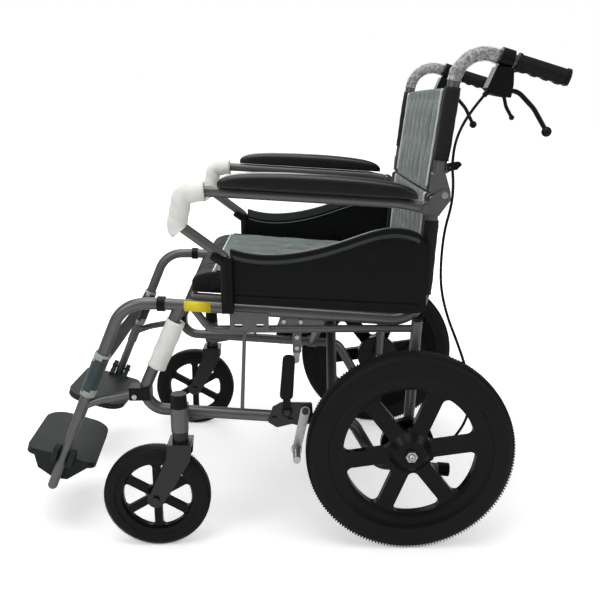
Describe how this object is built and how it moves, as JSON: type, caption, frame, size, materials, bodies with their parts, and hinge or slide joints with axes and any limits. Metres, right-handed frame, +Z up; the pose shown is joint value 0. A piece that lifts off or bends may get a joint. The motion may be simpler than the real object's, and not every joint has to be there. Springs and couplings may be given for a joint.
{
  "type": "transport wheelchair",
  "caption": "Folding transport wheelchair with padded sling seat, fold-down back, attendant brakes, solid tyres and swivel casters.",
  "frame": {"origin": "on the floor, midway along and across the chair", "axes": "+Z up, the occupant faces -Y, +X is the occupant's left"},
  "size_m": [0.654, 0.9944, 0.9032],
  "materials": {
    "frame_paint": "gunmetal satin paint",
    "fork_paint": "black paint",
    "steel": "zinc plated",
    "black_plastic": "fine grained",
    "wheel_plastic": "moulded",
    "tyre": "solid tyre",
    "grip_rubber": "ribbed",
    "armrest_foam": "moulded skin",
    "upholstery": "stitched woven cover",
    "cable_cover": "smooth"
  },
  "bodies": {
    "brace_a": {"brace_a": "frame_paint"},
    "brace_b": {"brace_b": "frame_paint"},
    "seat": {"seat_cushion": "upholstery"},
    "left_frame": {"left_upper_frame": "frame_paint", "left_lower_frame": "frame_paint", "left_under_frame": "frame_paint", "left_leg_hanger": "frame_paint", "left_frame_fittings": "black_plastic", "left_brake_cover": "black_plastic", "left_lock_bracket": "frame_paint", "left_hinge_bracket": "frame_paint", "left_fasteners": "steel", "back_lower": "upholstery", "calf_strap": "upholstery"},
    "right_frame": {"right_upper_frame": "frame_paint", "right_lower_frame": "frame_paint", "right_under_frame": "frame_paint", "right_leg_hanger": "frame_paint", "right_frame_fittings": "black_plastic", "right_brake_cover": "black_plastic", "right_lock_bracket": "frame_paint", "right_hinge_bracket": "frame_paint", "right_fasteners": "steel"},
    "left_upper_back": {"left_upper_cane": "frame_paint", "left_grip": "grip_rubber", "left_brake_housing": "black_plastic", "left_brake_cable": "cable_cover", "back_upper": "upholstery"},
    "left_armrest": {"left_armrest_tube": "frame_paint", "left_armrest_pad": "armrest_foam", "left_side_panel": "black_plastic"},
    "left_caster_wheel": {"left_caster_rim": "wheel_plastic", "left_caster_tyre": "tyre"},
    "left_rear_wheel": {"left_rear_rim": "wheel_plastic", "left_rear_tyre": "tyre"},
    "left_release_lever": {"left_release_lever": "black_plastic"},
    "left_brake_lever": {"left_brake_lever": "black_plastic"},
    "left_parking_catch": {"left_parking_catch": "black_plastic"},
    "left_footplate": {"left_footplate": "black_plastic"},
    "left_caster_fork": {"left_caster_fork": "fork_paint"},
    "left_lock_handle": {"left_lock_handle": "black_plastic"},
    "left_lock_shoe": {"left_lock_shoe": "steel"},
    "right_upper_back": {"right_upper_cane": "frame_paint", "right_grip": "grip_rubber", "right_brake_housing": "black_plastic", "right_brake_cable": "cable_cover"},
    "right_armrest": {"right_armrest_tube": "frame_paint", "right_armrest_pad": "armrest_foam", "right_side_panel": "black_plastic"},
    "right_caster_wheel": {"right_caster_rim": "wheel_plastic", "right_caster_tyre": "tyre"},
    "right_rear_wheel": {"right_rear_rim": "wheel_plastic", "right_rear_tyre": "tyre"},
    "right_release_lever": {"right_release_lever": "black_plastic"},
    "right_brake_lever": {"right_brake_lever": "black_plastic"},
    "right_parking_catch": {"right_parking_catch": "black_plastic"},
    "right_footplate": {"right_footplate": "black_plastic"},
    "right_caster_fork": {"right_caster_fork": "fork_paint"},
    "right_lock_handle": {"right_lock_handle": "black_plastic"},
    "right_lock_shoe": {"right_lock_shoe": "steel"}
  },
  "joints": [
    {"name": "fold", "type": "hinge", "parent": "left_frame", "child": "brace_a", "pos_m": [0.24, 0.10029, 0.23172], "axis": [0, 0.9973, -0.0732], "range_deg": [0, 44], "deforming": ["seat_cushion", "back_lower", "back_upper", "calf_strap"]},
    {"name": "brace_cross", "type": "hinge", "parent": "brace_a", "child": "brace_b", "pos_m": [0, 0.09562, 0.34565], "axis": [0, 0.9973, -0.0732], "range_deg": [-88, 0]},
    {"name": "right_fold", "type": "hinge", "parent": "brace_b", "child": "right_frame", "pos_m": [-0.24, 0.07436, 0.23363], "axis": [0, 0.9973, -0.0732], "range_deg": [0, 44]},
    {"name": "seat_level", "type": "hinge", "parent": "brace_a", "child": "seat", "pos_m": [-0.208, 0.00308, 0.45088], "axis": [0, 0.9973, -0.0732], "range_deg": [-44, 0]},
    {"name": "left_back_fold", "type": "hinge", "parent": "left_frame", "child": "left_upper_back", "pos_m": [0.24, 0.29059, 0.657], "axis": [-1, 0, 0], "range_deg": [0, 115], "deforming": ["left_brake_cable"]},
    {"name": "left_release", "type": "hinge", "parent": "left_upper_back", "child": "left_release_lever", "pos_m": [0.24, 0.29859, 0.704], "axis": [1, 0, 0], "range_deg": [0, 12], "stiffness_Nm_per_rad": 0.1, "springref_deg": -5.73},
    {"name": "left_brake_pull", "type": "hinge", "parent": "left_upper_back", "child": "left_brake_lever", "pos_m": [0.249, 0.38359, 0.834], "axis": [1, 0, 0], "range_deg": [0, 20], "stiffness_Nm_per_rad": 0.5, "springref_deg": -5.73},
    {"name": "left_catch_turn", "type": "hinge", "parent": "left_upper_back", "child": "left_parking_catch", "pos_m": [0.237, 0.38359, 0.834], "axis": [-1, 0, 0], "range_deg": [0, 20]},
    {"name": "left_armrest_lift", "type": "hinge", "parent": "left_frame", "child": "left_armrest", "pos_m": [0.266, 0.25559, 0.637], "axis": [-1, 0, 0], "range_deg": [0, 90]},
    {"name": "left_plate_flip", "type": "hinge", "parent": "left_frame", "child": "left_footplate", "pos_m": [0.24, -0.4105, 0.167], "axis": [0, 0.9178, -0.3971], "range_deg": [0, 90]},
    {"name": "left_caster_swivel", "type": "hinge", "parent": "left_frame", "child": "left_caster_fork", "pos_m": [0.28, -0.18241, 0.23], "axis": [0, 0, 1], "continuous": true},
    {"name": "left_caster_roll", "type": "hinge", "parent": "left_caster_fork", "child": "left_caster_wheel", "pos_m": [0.28, -0.22941, 0.1], "axis": [1, 0, 0], "continuous": true},
    {"name": "left_wheel_roll", "type": "hinge", "parent": "left_frame", "child": "left_rear_wheel", "pos_m": [0.292, 0.24059, 0.192], "axis": [1, 0, 0], "continuous": true},
    {"name": "left_lock_turn", "type": "hinge", "parent": "left_frame", "child": "left_lock_handle", "pos_m": [0.258, 0.01459, 0.256], "axis": [1, 0, 0], "range_deg": [0, 45]},
    {"name": "left_shoe_press", "type": "hinge", "parent": "left_frame", "child": "left_lock_shoe", "pos_m": [0.258, 0.04859, 0.258], "axis": [1, 0, 0], "range_deg": [0, 6.3]},
    {"name": "right_back_fold", "type": "hinge", "parent": "right_frame", "child": "right_upper_back", "pos_m": [-0.24, 0.29059, 0.657], "axis": [-1, 0, 0], "range_deg": [0, 115], "deforming": ["right_brake_cable"]},
    {"name": "right_release", "type": "hinge", "parent": "right_upper_back", "child": "right_release_lever", "pos_m": [-0.24, 0.29859, 0.704], "axis": [1, 0, 0], "range_deg": [0, 12], "stiffness_Nm_per_rad": 0.1, "springref_deg": -5.73},
    {"name": "right_brake_pull", "type": "hinge", "parent": "right_upper_back", "child": "right_brake_lever", "pos_m": [-0.249, 0.38359, 0.834], "axis": [1, 0, 0], "range_deg": [0, 20], "stiffness_Nm_per_rad": 0.5, "springref_deg": -5.73},
    {"name": "right_catch_turn", "type": "hinge", "parent": "right_upper_back", "child": "right_parking_catch", "pos_m": [-0.237, 0.38359, 0.834], "axis": [-1, 0, 0], "range_deg": [0, 20]},
    {"name": "right_armrest_lift", "type": "hinge", "parent": "right_frame", "child": "right_armrest", "pos_m": [-0.266, 0.25559, 0.637], "axis": [-1, 0, 0], "range_deg": [0, 90]},
    {"name": "right_plate_flip", "type": "hinge", "parent": "right_frame", "child": "right_footplate", "pos_m": [-0.24, -0.4105, 0.167], "axis": [0, -0.9178, 0.3971], "range_deg": [0, 90]},
    {"name": "right_caster_swivel", "type": "hinge", "parent": "right_frame", "child": "right_caster_fork", "pos_m": [-0.28, -0.18241, 0.23], "axis": [0, 0, 1], "continuous": true},
    {"name": "right_caster_roll", "type": "hinge", "parent": "right_caster_fork", "child": "right_caster_wheel", "pos_m": [-0.28, -0.22941, 0.1], "axis": [1, 0, 0], "continuous": true},
    {"name": "right_wheel_roll", "type": "hinge", "parent": "right_frame", "child": "right_rear_wheel", "pos_m": [-0.292, 0.24059, 0.192], "axis": [1, 0, 0], "continuous": true},
    {"name": "right_lock_turn", "type": "hinge", "parent": "right_frame", "child": "right_lock_handle", "pos_m": [-0.258, 0.01459, 0.256], "axis": [1, 0, 0], "range_deg": [0, 45]},
    {"name": "right_shoe_press", "type": "hinge", "parent": "right_frame", "child": "right_lock_shoe", "pos_m": [-0.258, 0.04859, 0.258], "axis": [1, 0, 0], "range_deg": [0, 6.3]}
  ],
  "couplings": [
    {"joint": "brace_cross", "follows": "fold", "ratio": -2},
    {"joint": "right_fold", "follows": "fold", "ratio": 1},
    {"joint": "seat_level", "follows": "fold", "ratio": -1},
    {"joint": "right_back_fold", "follows": "left_back_fold", "ratio": 1},
    {"joint": "left_shoe_press", "follows": "left_lock_turn", "ratio": 0.14},
    {"joint": "left_plate_flip", "follows": "fold", "ratio": 2.0455},
    {"joint": "right_shoe_press", "follows": "right_lock_turn", "ratio": 0.14},
    {"joint": "right_plate_flip", "follows": "fold", "ratio": 2.0455}
  ]
}
